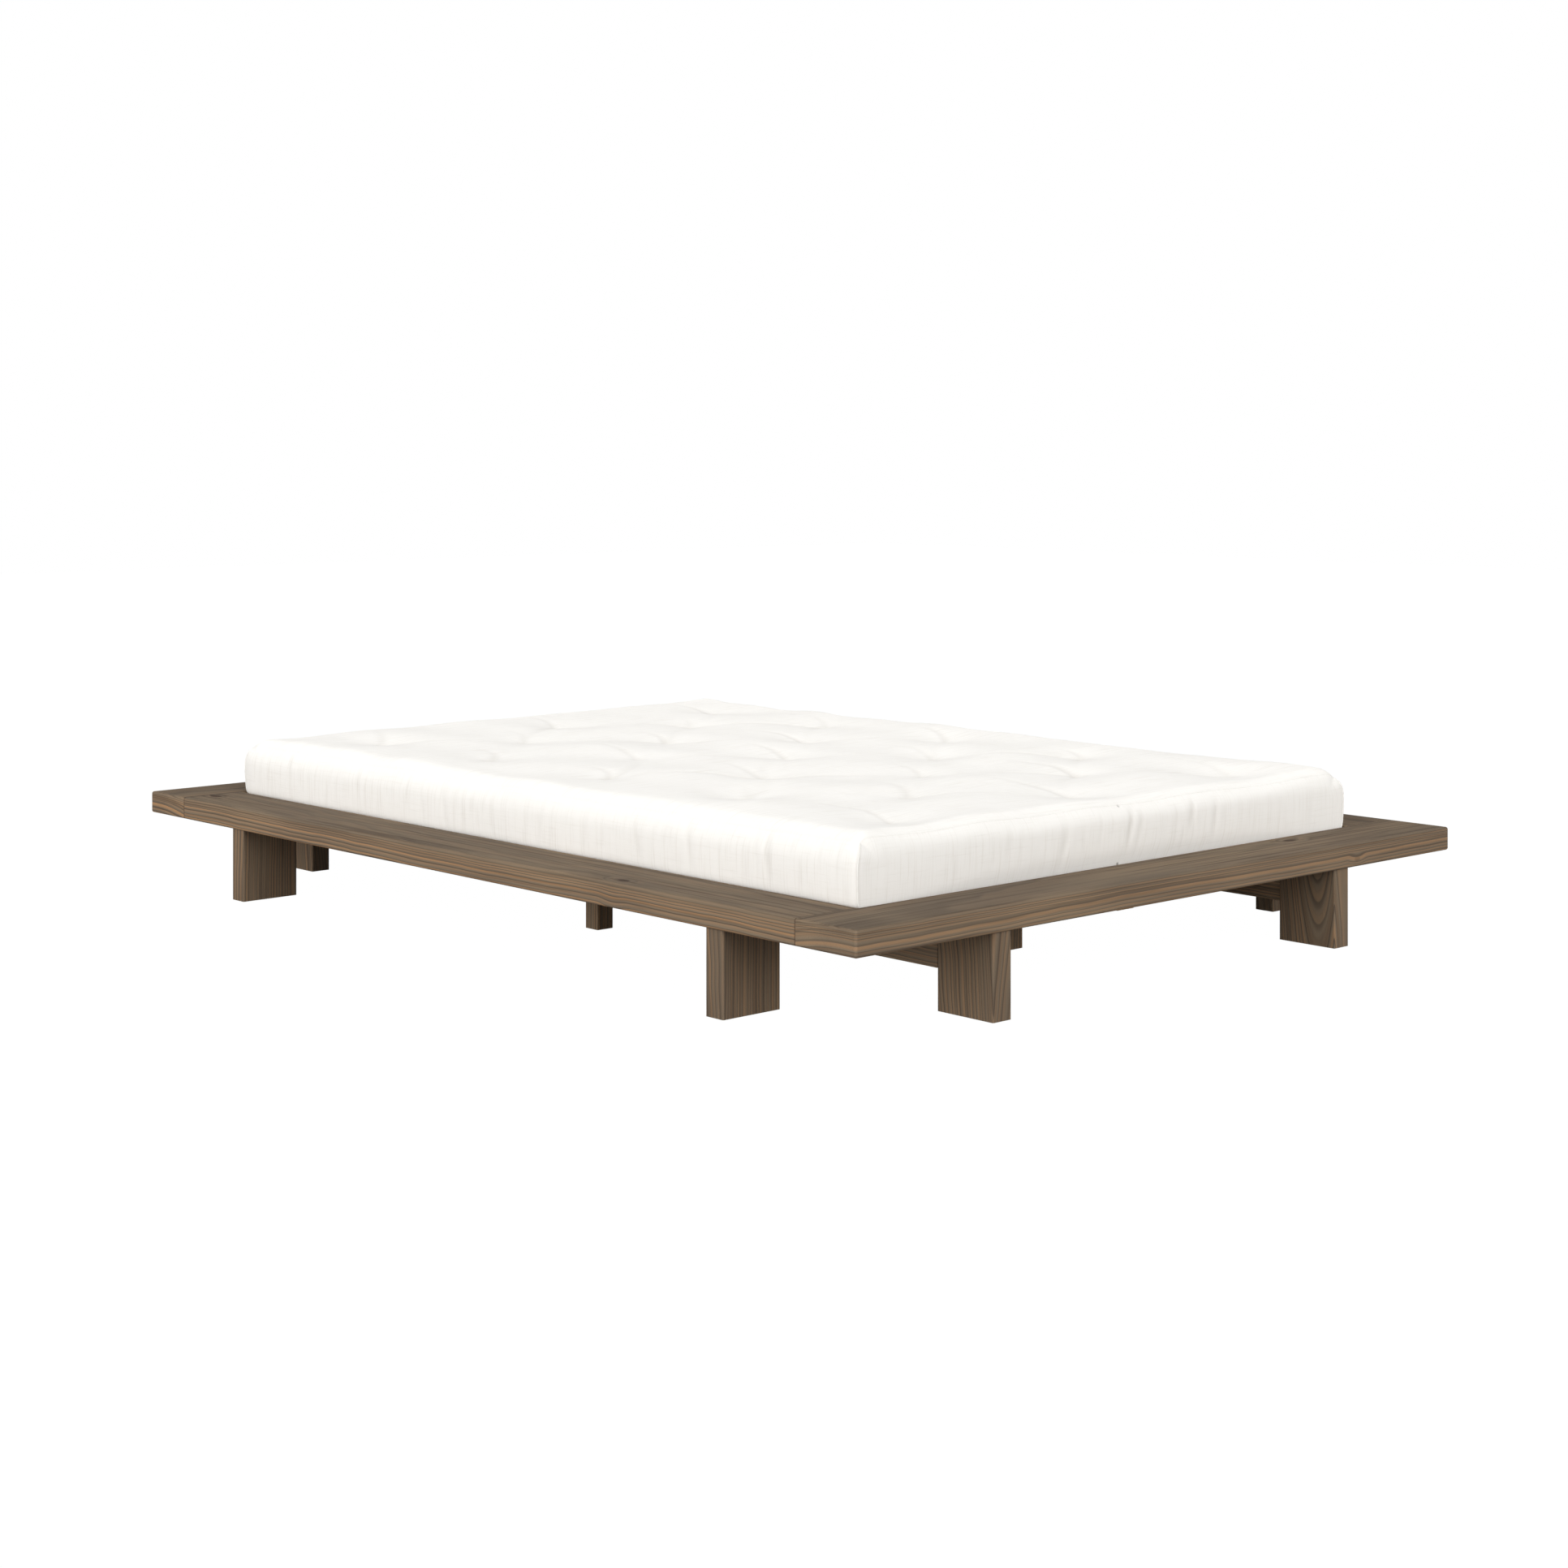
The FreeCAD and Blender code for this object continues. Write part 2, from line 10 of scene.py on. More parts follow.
import bpy
import numpy as np
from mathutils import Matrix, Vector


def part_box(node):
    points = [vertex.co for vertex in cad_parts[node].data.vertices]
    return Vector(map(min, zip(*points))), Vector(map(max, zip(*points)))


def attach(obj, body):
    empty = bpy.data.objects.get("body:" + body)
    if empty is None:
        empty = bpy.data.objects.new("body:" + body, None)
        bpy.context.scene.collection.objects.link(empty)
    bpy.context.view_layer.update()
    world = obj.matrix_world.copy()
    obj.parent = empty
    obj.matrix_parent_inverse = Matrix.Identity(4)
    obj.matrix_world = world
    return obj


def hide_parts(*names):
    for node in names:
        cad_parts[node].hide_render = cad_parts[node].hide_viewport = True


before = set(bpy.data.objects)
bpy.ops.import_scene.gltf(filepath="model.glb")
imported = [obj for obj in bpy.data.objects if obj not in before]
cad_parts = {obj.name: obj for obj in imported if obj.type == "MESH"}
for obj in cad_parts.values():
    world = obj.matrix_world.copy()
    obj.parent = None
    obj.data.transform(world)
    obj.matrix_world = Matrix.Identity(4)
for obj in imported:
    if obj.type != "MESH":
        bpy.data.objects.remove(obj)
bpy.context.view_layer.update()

# %% [markdown]
# ## Camera
# The view is from standing height at the foot's left corner, with a level camera, so that upright edges
# stay upright in the picture. A level camera would leave the low bed near the lower edge of the frame.
# Tilting it would make the legs lean, so the lens is shifted down instead, as on an architect's camera.

# %% Camera
CAMERA_PLACE = (-3.809, -4.212, 0.9957)
CAMERA_TURN = math.radians(-42.457)
CAMERA_LENS = 60.497
SENSOR = 36.0
LENS_SHIFT = -0.2195

camera_data = bpy.data.cameras.new("camera")
camera_data.sensor_width = SENSOR
camera_data.lens = CAMERA_LENS
camera_data.shift_y = LENS_SHIFT
camera = bpy.data.objects.new("camera", camera_data)
camera.location = CAMERA_PLACE
camera.rotation_euler = (math.pi / 2, 0, CAMERA_TURN)
bpy.context.scene.collection.objects.link(camera)
bpy.context.scene.camera = camera
print("camera", CAMERA_LENS, "mm, shifted", LENS_SHIFT)

# %% [markdown]
# ## Shader maths as ordinary expressions
# A procedural material is a formula, but a tree of Math nodes is hard to read. A small class wraps an
# output socket, and its operators add the Math nodes, so that a formula is written as a formula. Any
# other node comes from one method that takes the node's type, its settings and its inputs.

# %% Wire
class Wire:
    """An output socket with arithmetic: each operator adds a Math node and returns its output."""

    def __init__(self, paint, socket):
        self.paint = paint
        self.socket = socket

    def math(self, operation, *values):
        inputs = dict(enumerate(values))
        return self.paint.node("ShaderNodeMath", {"operation": operation}, inputs)

    def __add__(self, other):
        return self.math("ADD", self, other)

    __radd__ = __add__

    def __sub__(self, other):
        return self.math("SUBTRACT", self, other)

    def __rsub__(self, other):
        return self.math("SUBTRACT", other, self)

    def __mul__(self, other):
        return self.math("MULTIPLY", self, other)

    __rmul__ = __mul__

    def __truediv__(self, other):
        return self.math("DIVIDE", self, other)

    def fraction(self):
        return self.math("FRACT", self)

    def floor(self):
        return self.math("FLOOR", self)

    def root(self):
        return self.math("SQRT", self)

    def sine(self):
        return self.math("SINE", self)

    def size(self):
        return self.math("ABSOLUTE", self)

    def high(self, other):
        return self.math("MAXIMUM", self, other)

    def step(self, start, end):
        """Smooth rise from 0 at start to 1 at end, or a fall where end is less than start."""
        if start < end:
            inputs = {"Value": self, "From Min": start, "From Max": end}
        else:
            inputs = {"Value": self, "From Min": end, "From Max": start, "To Min": 1.0, "To Max": 0.0}
        return self.paint.node("ShaderNodeMapRange", {"interpolation_type": "SMOOTHSTEP"}, inputs)


print("wires ready")

# %% [markdown]
# ## One material under construction
# A material is a tree of nodes round one shader. It could be wired by hand in the node editor, but the
# same few steps come back in timber, steel and cloth. So one small class adds the nodes, fills their
# sockets and hands back wires, which keeps each recipe short enough to read.

# %% Paint
class Paint:
    """One material under construction."""

    def __init__(self, name):
        self.material = bpy.data.materials.new(name)
        self.material.use_nodes = True
        self.tree = self.material.node_tree
        self.shader = self.tree.nodes["Principled BSDF"]

    def node(self, kind, settings=None, inputs=None, output=0):
        """Adds a node, applies its settings, then fills its inputs with values or links."""
        made = self.tree.nodes.new(kind)
        for key, value in (settings or {}).items():
            setattr(made, key, value)
        for key, value in (inputs or {}).items():
            self.fill(made.inputs[key], value)
        return Wire(self, made.outputs[output])

    def fill(self, socket, value):
        if isinstance(value, Wire):
            self.tree.links.new(value.socket, socket)
        else:
            socket.default_value = value

    def surface(self, **inputs):
        """Sets the shader's own sockets. Underscores in a name stand for spaces."""
        for key, value in inputs.items():
            self.fill(self.shader.inputs[key.replace("_", " ")], value)

    def parts(self, vector):
        """The three numbers of a vector."""
        first = self.node("ShaderNodeSeparateXYZ", None, {0: vector})
        return [Wire(self, output) for output in first.socket.node.outputs]

    def axes(self):
        """Object coordinates, which are places in the shared frame in metres, as three numbers."""
        return self.parts(self.node("ShaderNodeTexCoord", output=3))

    def point(self, x, y, z):
        return self.node("ShaderNodeCombineXYZ", None, {0: x, 1: y, 2: z})

    def noise(self, point, detail):
        """Soft noise about 0.5 at a point whose axes are already scaled."""
        inputs = {"Vector": point, "Scale": 1.0, "Detail": detail, "Roughness": 0.5}
        return self.node("ShaderNodeTexNoise", None, inputs)

    def blend(self, share, first, second):
        """Colour that goes from first to second as share goes from 0 to 1."""
        inputs = {"Factor": share, 6: first, 7: second}
        return self.node("ShaderNodeMix", {"data_type": "RGBA"}, inputs, output=2)

    def bump(self, height, distance, strength):
        return self.node("ShaderNodeBump", None,
                         {"Strength": strength, "Distance": distance, "Height": height})


print("paint ready")

# %% [markdown]
# ## Colours
# A colour is easiest to choose by its display values, from 0 to 255, but a shader adds and multiplies
# light. So each value is made linear first, by the standard display curve.

# %% Colours
def srgb(red, green, blue):
    """Linear colour from 0 to 255 display values."""
    shares = np.array([red, green, blue]) / 255
    linear = np.where(shares <= 0.04045, shares / 12.92, ((shares + 0.055) / 1.055) ** 2.4)
    return (*[float(share) for share in linear], 1.0)


print("mid grey is", round(srgb(128, 128, 128)[0], 3), "of white's light")

# %% [markdown]
# ## Pine, cut from a log
# The grain of a board is not a picture on its faces. It is the tree's growth rings, cut by the board's
# six planes. So the material describes the log: rings round a pith line that runs beside the board, and
# the faces show whatever the cut shows. Wide faces of a flat-sawn board get long soft figures, its edges
# get close stripes, and its ends get arcs, all of which meet at the arrises.
#
# A young stem wanders and its rings are never quite round. So the pith line drifts slowly along the
# board, and two noises, one slow and one quicker, swell and pinch the rings.

# %% Distance from the pith
# The drift is across the board and out of its face. All are in metres.
PITH_DRIFT = (0.03, 0.02)
SLOW_SWELL = 0.005
QUICK_WAVE = 0.007


def pith_distance(paint, place, pith, tilt, seed):
    """Distance from the pith line in metres: the root of the sum of two squares, plus soft noise."""
    along, side, depth = place
    drift = paint.noise(paint.point(along * 1.3, seed, 0.0), detail=1.0) - 0.5
    wave = paint.noise(paint.point(along * 6.0, side * 4, seed), detail=2.0) - 0.5
    swell = paint.noise(paint.point(along * 3.1, side * 6, depth * 6 + seed), detail=2.0) - 0.5
    from_side = side - pith[0] - along * tilt[0] + drift * PITH_DRIFT[0]
    from_face = depth - pith[1] - along * tilt[1] + drift * PITH_DRIFT[1]
    straight = (from_side * from_side + from_face * from_face).root()
    return straight + swell * SLOW_SWELL + wave * QUICK_WAVE


print("rings drift up to", PITH_DRIFT[0] / 2, "m")

# %% [markdown]
# ## Knots
# A knot is a branch that the trunk grew round. A dark spot could be painted on, but then the figure would
# run straight through it. Adding to the distance from the pith near the branch bends the rings round it
# instead, and the branch's own heart is then darkened.

# %% Knots
# The bend and the rim are where a knot's smooth steps start and end, in branch radii.
KNOT_STRETCH = 0.55
KNOT_BEND = (3.6, 0.8)
KNOT_BULGE = 0.9
KNOT_RIM = (1.15, 0.65)
FACE_KNOT_SHADE = 1.0
EDGE_KNOT_SHADE = 0.3


def grow_round(radius, branches):
    """Ring distance with a bulge round each branch, and the share of a point that is branch heart.

    A branch is the distance past it along the board, the distance beside it, its radius and its shade.
    Bulge and heart are smooth steps of the distance from the branch, counted in branch radii.
    """
    heart = None
    for past, beside, size, shade in branches:
        past = past * KNOT_STRETCH
        off = (past * past + beside * beside).root()
        radius = radius + off.step(size * KNOT_BEND[0], size * KNOT_BEND[1]) * size * KNOT_BULGE
        core = off.step(size * KNOT_RIM[0], size * KNOT_RIM[1]) * shade
        heart = core if heart is None else heart.high(core)
    return radius, heart


print("rings bend within", KNOT_BEND[0], "radii of a knot")

# %% [markdown]
# ## Seasons and stain
# Each ring starts with soft pale early wood and ends in a dense line of late wood. Stain soaks into the
# early wood and hardly into the late wood. So each ring is grey brown with a warmer, lighter line before
# the next year's dark start. Fine streaks and fibres along the grain break the rings up.

# %% Stained pine
STAIN_DEEP = srgb(78, 65, 54)
STAIN_MID = srgb(118, 104, 88)
STAIN_PALE = srgb(138, 121, 100)
LATE_WOOD = srgb(168, 130, 94)
KNOT_HEART = srgb(68, 51, 42)
RING_WIDTH = 0.0058
RING_UNEVENNESS = 1.8
FIBRES = 900
# The calm upper skin and the joint line start and end this far inside the board, in metres.
CALM_SKIN = (0.004, 0.0005)
JOINT_LINE = (0.0035, 0.0008)
PINE_RELIEF = 0.0002


def stained_pine(node, grain, face, pith, tilt=(0.0, 0.0), ring=RING_WIDTH, close=0.0, knots=(),
                 edge_knots=(), seed=0.0, warmth=1.0, soak=0.0, calm_top=False, joints=False):
    """Material for one board, as rings round a pith line.

    grain and face are axis numbers: along the fibres, and out of the wide face. pith is where the pith
    line lies from the board's middle, across the board and out of its face, in metres. tilt is how far
    it drifts per metre of length. ring is the mean ring width, and close is the number of extra rings
    crowded under the upper face. Each knot is along, across and radius, and each edge knot is along, out
    of the face and radius, for a branch that runs level through the board. warmth is how strongly the
    late wood shows, soak is painted shade: the share by which the whole piece is darkened towards the
    deep stain, for legs that stand in shade under the border. calm_top fades the figure on the upper
    face, and joints darkens the two ends.
    """
    paint = Paint(node)
    low, high = [np.array(corner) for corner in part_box(node)]
    centre = (low + high) / 2
    half = (high - low) / 2
    across = 3 - grain - face
    place = paint.axes()
    along, side, depth = [place[axis] - centre[axis] for axis in (grain, across, face)]

    # Rings, bent round the branches, then counted from the pith
    radius = pith_distance(paint, (along, side, depth), pith, tilt, seed)
    branches = [(along - a, side - b - depth * 0.2, size, FACE_KNOT_SHADE) for a, b, size in knots]
    branches += [(along - a, depth - b, size, EDGE_KNOT_SHADE) for a, b, size in edge_knots]
    radius, heart = grow_round(radius, branches)
    years = radius / ring
    unevenness = paint.noise(paint.point(years * 0.45, seed, 3.0), detail=0.0) - 0.5
    years = years + unevenness * RING_UNEVENNESS
    crowd = depth.step(half[face] * 0.1, half[face] * 0.95)
    years = years + crowd * close
    year = years.floor()
    season = years.fraction()

    # Late wood near the end of each year, more in a strong year, and stained early wood round its turn
    vigour = paint.noise(paint.point(year * 7.31, seed + 5.0, 0.0), detail=0.0).step(0.3, 0.7)
    late = season.step(0.25, 0.8) * season.step(1.0, 0.9) * (vigour * 0.7 + 0.3)
    spring = season.step(0.3, 0.02) + season.step(0.93, 1.0)
    if close:
        late = late * (1 - crowd * 0.6)

    # Noise much finer across the grain than along it
    fibre = paint.noise(paint.point(along * 9, side * FIBRES, depth * FIBRES + seed), detail=3.0)
    upper = depth.step(half[face] - CALM_SKIN[0], half[face] - CALM_SKIN[1]) * float(calm_top)
    streak = paint.noise(paint.point(along * 1.7, side * upper * 130, radius * 150 + seed), detail=3.0)
    cloud = paint.noise(paint.point(along * 2.3, side * 9, depth * 9 + seed), detail=2.0)
    figure = 1 - upper * 0.5

    colour = paint.blend(cloud.step(0.3, 0.7), STAIN_MID, STAIN_PALE)
    colour = paint.blend(spring * (vigour * 0.45 + 0.4) * figure, colour, STAIN_DEEP)
    colour = paint.blend(late * figure * warmth, colour, LATE_WOOD)
    colour = paint.blend(streak.step(0.46, 0.68) * (upper * 0.15 + 0.45), colour, STAIN_DEEP)
    colour = paint.blend(fibre.step(0.5, 0.8) * 0.35, colour, STAIN_DEEP)
    # Painted shade: the whole piece is darkened towards the deep stain by this share, for legs that stand
    # in shade under the border.
    colour = paint.blend(soak, colour, STAIN_DEEP)
    if heart is not None:
        colour = paint.blend(heart * 0.85, colour, KNOT_HEART)
    if joints:
        dark = along.size().step(half[grain] - JOINT_LINE[0], half[grain] - JOINT_LINE[1])
        colour = paint.blend(dark * 0.75, colour, KNOT_HEART)

    relief = late * 0.3 + fibre * 0.5
    paint.surface(Base_Color=colour, Roughness=fibre * 0.16 + 0.64, Specular_IOR_Level=0.12,
                  Normal=paint.bump(relief, PINE_RELIEF, 0.5))
    return paint.material


def dress(node, material):
    """Gives a frame piece its material."""
    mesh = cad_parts[node].data
    mesh.materials.clear()
    mesh.materials.append(material)


print("stained pine ready")

# %% [markdown]
# ## Which log each piece came from
# No two boards of a real bed match, so each piece gets its own pith line. The border boards are flat
# sawn, with the pith well below them, so their tops are calm and their edges striped. The legs are
# short, and a pith line that crosses them at a slant gives the pointed arches that pine often shows.

# %% Timber choices
X, Y, Z = 0, 1, 2

BORDER_BOARDS = {
    "side_board_left": dict(grain=Y, pith=(-0.10, -0.60), tilt=(0.01, 0.004), ring=0.0082, close=1.0,
                            knots=((0.975, -0.012, 0.011), (-0.515, -0.05, 0.009)), seed=1.7,
                            joints=True),
    "side_board_right": dict(grain=Y, pith=(0.12, -0.55), tilt=(-0.012, 0.006), ring=0.0078, close=1.5,
                             knots=((0.31, 0.02, 0.010), (-0.62, -0.03, 0.008)), seed=4.9,
                             joints=True),
    "end_board_foot": dict(grain=X, pith=(-0.04, -0.65), tilt=(0.008, 0.006), ring=0.0095, close=3.0,
                           knots=((0.455, 0.032, 0.010),), edge_knots=((0.528, -0.008, 0.0055),),
                           seed=8.3),
    "end_board_head": dict(grain=X, pith=(0.05, -0.60), tilt=(-0.01, 0.005), ring=0.009, close=2.0,
                           knots=((-0.28, 0.01, 0.010), (0.44, -0.03, 0.009)), seed=11.1),
}
LEGS = {
    "foot_end_leg_left": dict(face=X, pith=(0.16, 0.10), tilt=(0.05, 0.03)),
    "foot_end_leg_right": dict(face=X, pith=(-0.032, 0.012), tilt=(0.02, -0.15), ring=0.0066),
    "head_end_leg_left": dict(face=X, pith=(-0.15, 0.09), tilt=(0.05, -0.04)),
    "head_end_leg_right": dict(face=X, pith=(0.14, -0.11), tilt=(-0.06, 0.05)),
    "left_side_leg_foot": dict(face=Y, pith=(0.17, 0.12), tilt=(0.05, -0.05)),
    "left_side_leg_head": dict(face=Y, pith=(0.15, -0.10), tilt=(0.04, 0.03)),
    "right_side_leg_foot": dict(face=Y, pith=(0.14, -0.10), tilt=(-0.05, 0.05)),
    "right_side_leg_head": dict(face=Y, pith=(-0.16, 0.11), tilt=(0.04, 0.06)),
}
LEG_SEED, LONG_BEAM_SEED, CROSS_BEAM_SEED, POST_SEED = 20, 60, 70, 80
SEED_STEP = 3.7
LONG_BEAMS = ("long_beam_left", "long_beam_right")
CROSS_BEAMS = ("cross_beam_foot", "cross_beam_head")
POSTS = ("beam_post_left", "beam_post_right", "rail_post_foot", "rail_post_middle", "rail_post_head")


def cut_from_log(node, seed, **choice):
    """Dresses one piece in stained pine. Its seed gives it a grain of its own."""
    dress(node, stained_pine(node, seed=seed, **choice))


for node, choice in BORDER_BOARDS.items():
    cut_from_log(node, face=Z, calm_top=True, **choice)
# The legs are coloured darker all over, as painted shade for the shade they stand in under the border.
for count, (node, choice) in enumerate(LEGS.items()):
    cut_from_log(node, LEG_SEED + SEED_STEP * count, grain=Z, warmth=0.62, soak=0.2, **choice)
for count, node in enumerate(LONG_BEAMS):
    cut_from_log(node, LONG_BEAM_SEED + SEED_STEP * count, grain=Y, face=X, pith=(-0.16, -0.09),
                 warmth=0.7)
for count, node in enumerate(CROSS_BEAMS):
    cut_from_log(node, CROSS_BEAM_SEED + SEED_STEP * count, grain=X, face=Y, pith=(-0.17, 0.10),
                 warmth=0.7)
for count, node in enumerate(POSTS):
    cut_from_log(node, POST_SEED + SEED_STEP * count, grain=Z, face=X, pith=(0.08, -0.09),
                 tilt=(0.04, 0.05), warmth=0.8)

stained = [*BORDER_BOARDS, *LEGS, *LONG_BEAMS, *CROSS_BEAMS, *POSTS]
print("stained", len(stained), "pieces of pine")

# %% [markdown]
# ## Plain pine
# Slats, ledges, the rail and the dowels are hidden in use and left unstained. Their figure could come
# from the same recipe, but nobody sees it closely, so a shorter one does: even rings round one pith line
# for all pieces that run the same way, in a lighter, yellower palette.

# %% Plain pine
RAW_EARLY = srgb(222, 190, 142)
RAW_LATE = srgb(186, 138, 88)
RAW_RING = 0.005
RAW_SWELL = 0.02
RAW_FIBRES = 800


def plain_pine(name, grain, offset):
    """Untreated pine: rings round a pith line along one axis, offset from the bed's middle line."""
    paint = Paint(name)
    place = paint.axes()
    along = place[grain]
    side, depth = [place[axis] for axis in (X, Y, Z) if axis != grain]
    swell = paint.noise(paint.point(along * 2.5, side * 6, depth * 6), detail=2.0) - 0.5
    from_side = side - offset[0]
    from_face = depth - offset[1]
    years = ((from_side * from_side + from_face * from_face).root() + swell * RAW_SWELL) / RAW_RING
    season = years.fraction()
    late = season.step(0.4, 0.9) * season.step(1.0, 0.94)
    fibre = paint.noise(paint.point(along * 9, side * RAW_FIBRES, depth * RAW_FIBRES), detail=2.0)
    colour = paint.blend(late * 0.7, RAW_EARLY, RAW_LATE)
    colour = paint.blend(fibre.step(0.5, 0.8) * 0.2, colour, RAW_LATE)
    paint.surface(Base_Color=colour, Roughness=fibre * 0.15 + 0.6, Normal=paint.bump(fibre, 0.0003, 0.4))
    return paint.material


slat_pine = plain_pine("slat_pine", X, (0.3, -0.2))
rail_pine = plain_pine("rail_pine", Y, (0.1, -0.15))
dowel_pine = plain_pine("dowel_pine", Z, (0.4, 0.3))
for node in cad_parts:
    if node.startswith("slat_") and node[5:].isdigit():
        dress(node, slat_pine)
    elif node in ("centre_rail", "slat_ledge_left", "slat_ledge_right"):
        dress(node, rail_pine)
    elif node.endswith("_dowels"):
        dress(node, dowel_pine)
print("plain pine on slats, ledges, rail and dowels")

# %% [markdown]
# ## Zinc-plated steel
# Plates, brackets, screws and bolts are steel with a thin coat of zinc, which sets in small crystals of
# slightly different shine. One soft noise in three dimensions drives both colour and roughness, so that
# the spangle runs on over the edges of these small parts without any unwrapping.

# %% Zinc-plated steel
ZINC_DULL = srgb(150, 153, 158)
ZINC_BRIGHT = srgb(188, 190, 193)
SPANGLE = 160


def zinc():
    """Dull plated steel with a faint spangle."""
    paint = Paint("zinc")
    x, y, z = paint.axes()
    spangle = paint.noise(paint.point(x * SPANGLE, y * SPANGLE, z * SPANGLE), detail=2.0)
    colour = paint.blend(spangle, ZINC_DULL, ZINC_BRIGHT)
    paint.surface(Base_Color=colour, Metallic=1.0, Roughness=spangle * 0.25 + 0.3)
    return paint.material


zinc_steel = zinc()
STEEL = ("corner_plates", "corner_plate_screws", "angle_brackets", "angle_bracket_screws", "ledge_screws",
         "slat_screws", "rail_screws", "post_bolts", "post_bolt_washers", "post_bolt_nuts")
for node in STEEL:
    dress(node, zinc_steel)
print("steel on", len(STEEL), "nodes")

# %% [markdown]
# ## The futon's shape
# A futon cover is one long cloth that wraps over the top, down both sides and under the bottom, closed
# by a flat panel at each end. So the ends are crisp where the panel is sewn in, and the long sides roll
# over softly. Inside is loose cotton, held in place by tufts: threads pulled right through the pad. Each
# tuft pulls a hollow, and the cloth between them gathers into creases that run from tuft to tuft.
#
# The grid is the surface of a block of small cells. Every point of that surface is moved by formula, in
# whole arrays: first to the sewn shape, then down into the hollows and creases.

# %% Grid on the surface of a block
def block_grid(cells):
    """Points, faces and thread counts on the surface of a block of cells, as whole numbers.

    Each of the six sides is a grid of squares. Points shared by two sides are one point, because each
    is named by its three counts. Faces wind outwards. The thread counts of a face's corners are the
    counts along the level threads and along the upright ones, which also run across the top.
    """
    nx, ny, nz = cells
    sides = []
    threads = []
    for axis in range(3):
        first, second = [(1, 2), (2, 0), (0, 1)][axis]
        level, upright = [(1, 2), (0, 2), (1, 0)][axis]
        a, b = np.meshgrid(np.arange(cells[first]), np.arange(cells[second]), indexing="ij")
        a, b = a.ravel(), b.ravel()
        for end in (0, 1):
            corners = []
            for step_a, step_b in ((0, 0), (1, 0), (1, 1), (0, 1)):
                corner = np.zeros((len(a), 3), dtype=np.int64)
                corner[:, axis] = cells[axis] * end
                corner[:, first] = a + step_a
                corner[:, second] = b + step_b
                corners.append(corner)
            if end == 0:
                corners.reverse()
            stack = np.stack(corners, axis=1)
            sides.append(stack)
            threads.append(stack[..., [level, upright]])
    quads = np.concatenate(sides)
    key = (quads[..., 0] * (ny + 1) + quads[..., 1]) * (nz + 1) + quads[..., 2]
    names, faces = np.unique(key.ravel(), return_inverse=True)
    layers = [names // ((ny + 1) * (nz + 1)), names // (nz + 1) % (ny + 1), names % (nz + 1)]
    counts = np.stack(layers, axis=1)
    return counts, faces.reshape(-1, 4), np.concatenate(threads)


def rise(value, start, end):
    """Smooth step from 0 at start to 1 at end, for arrays."""
    share = np.clip((value - start) / (end - start), 0, 1)
    return share * share * (3 - 2 * share)


mattress_low, mattress_high = [np.array(corner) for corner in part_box("mattress")]
mattress_size = mattress_high - mattress_low
CELL = 0.0066
cells = [int(round(size / CELL)) for size in mattress_size]
counts, faces, thread_counts = block_grid(cells)
print("futon grid", cells, "cells,", len(counts), "points")

# %% [markdown]
# ## From block to sewn pad
# Seen along the bed, the wrap's outline is a rectangle with large round upper corners, and seen across
# the bed, the end panels round over at the top with a smaller radius. Each is a turn in one plane.
# Turning the block in one plane and then in the other would leave a step in the seam. So both turns start
# from the block, and a point that both of them lower goes down by the root of the sum of their squares.
# The upright corners stay crisp, because there the panel is sewn in, and the last centimetre before a
# panel turns in a little where the seam pulls.

# %% Sewn shape
# Each roll is the upper and the lower radius of an edge.
SIDE_ROLL = (0.056, 0.018)
END_ROLL = (0.042, 0.006)
SEAM_TURN = 0.004
SEAM_REACH = 0.012
END_CROWN = 0.005
ON_FACE = 1e-6


def rolled(flat, tall, half, low, high, roll):
    """Rounds the corners of a rectangular outline, and of every outline inset within it.

    roll holds the upper and the lower radius. A point in a corner zone is moved along the line from the
    corner's centre until its distance from that centre is the radius less the point's inset.
    """
    middle = (low + high) / 2
    reach = (high - low) / 2
    above = np.abs(tall - middle)
    radius = np.where(tall > middle, *roll)
    out_flat = np.abs(flat) - (half - radius)
    out_tall = above - (reach - radius)
    inset = np.minimum(half - np.abs(flat), reach - above)
    distance = np.maximum(np.hypot(out_flat, out_tall), 1e-9)
    pull = np.where((out_flat > 0) & (out_tall > 0), (radius - inset) / distance, 1)
    new_flat = np.sign(flat) * (half - radius + out_flat * pull)
    new_tall = middle + np.sign(tall - middle) * (reach - radius + out_tall * pull)
    return new_flat, new_tall


half_x, half_y = mattress_size[0] / 2, mattress_size[1] / 2
low_z, high_z = mattress_low[2], mattress_high[2]
middle_z = (low_z + high_z) / 2
block = mattress_low + counts / np.array(cells) * mattress_size
on_end = np.abs(block[:, 1]) > half_y - ON_FACE
on_side = np.abs(block[:, 0]) > half_x - ON_FACE
half_z = high_z - middle_z
off_middle = np.maximum(np.abs(block[:, 0]) / half_x, np.abs(block[:, 2] - middle_z) / half_z)
turn_in = SEAM_TURN * np.exp(-(half_y - np.abs(block[:, 1])) / SEAM_REACH)

y, end_z = rolled(block[:, 1], block[:, 2], half_y, low_z, high_z, END_ROLL)
x, side_z = rolled(block[:, 0], block[:, 2], half_x, low_z, high_z, SIDE_ROLL)
drop = np.hypot(block[:, 2] - end_z, block[:, 2] - side_z)
z = block[:, 2] - np.sign(block[:, 2] - middle_z) * drop
y = y + np.sign(y) * on_end * END_CROWN * (1 - rise(off_middle, 0.35, 1.0)) - y * END_CROWN / half_y
x = x - np.sign(x) * turn_in * off_middle
print("sewn pad", round(float(np.ptp(x)), 3), round(float(np.ptp(y)), 3), round(float(np.ptp(z)), 3))

# %% [markdown]
# ## Tufts and creases
# The tufts stand in a staggered pattern, five rows across the width, with every second row shifted by
# half a step. Each is a broad shallow hollow with a small sharp one in it. Between neighbours the cloth
# folds into a crease: a narrow valley beside a faint ridge, deep at the tuft and gone at the next one.
# Stitching and creases could be sculpted by hand, but sums of simple curves are even over the whole top,
# and one seed brings the same futon back on every run.

